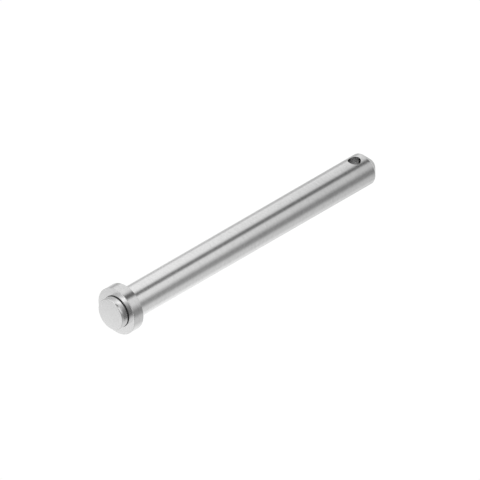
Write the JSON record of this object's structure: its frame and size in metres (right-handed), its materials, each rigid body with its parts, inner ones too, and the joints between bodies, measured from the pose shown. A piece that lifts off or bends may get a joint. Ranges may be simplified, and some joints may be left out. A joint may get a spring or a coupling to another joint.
{
  "type": "hitch pin",
  "caption": "Straight hitch pin: a turned bar with a loose collar for a head, held by wire snap rings, a cross hole for a clip or padlock, and a tapered tip.",
  "frame": {"origin": "on the pin's axis, in the plane of the collar's back face, which seats on the hitch", "axes": "+X along the pin towards its tapered tip; +Z along the cross hole"},
  "size_m": [0.1738, 0.024, 0.0242],
  "materials": {
    "shank_steel": "turned and fine-brushed stainless",
    "collar_steel": "turned stainless",
    "spring_wire": "black oxide spring wire"
  },
  "bodies": {
    "pin": {"pin_shank": "shank_steel", "front_snap_ring": "spring_wire", "rear_snap_ring": "spring_wire"},
    "collar": {"head_collar": "collar_steel"}
  },
  "joints": [
    {"name": "collar_spin", "type": "hinge", "parent": "pin", "child": "collar", "pos_m": [-0.00305, 0, 0], "axis": [1, 0, 0], "continuous": true}
  ]
}
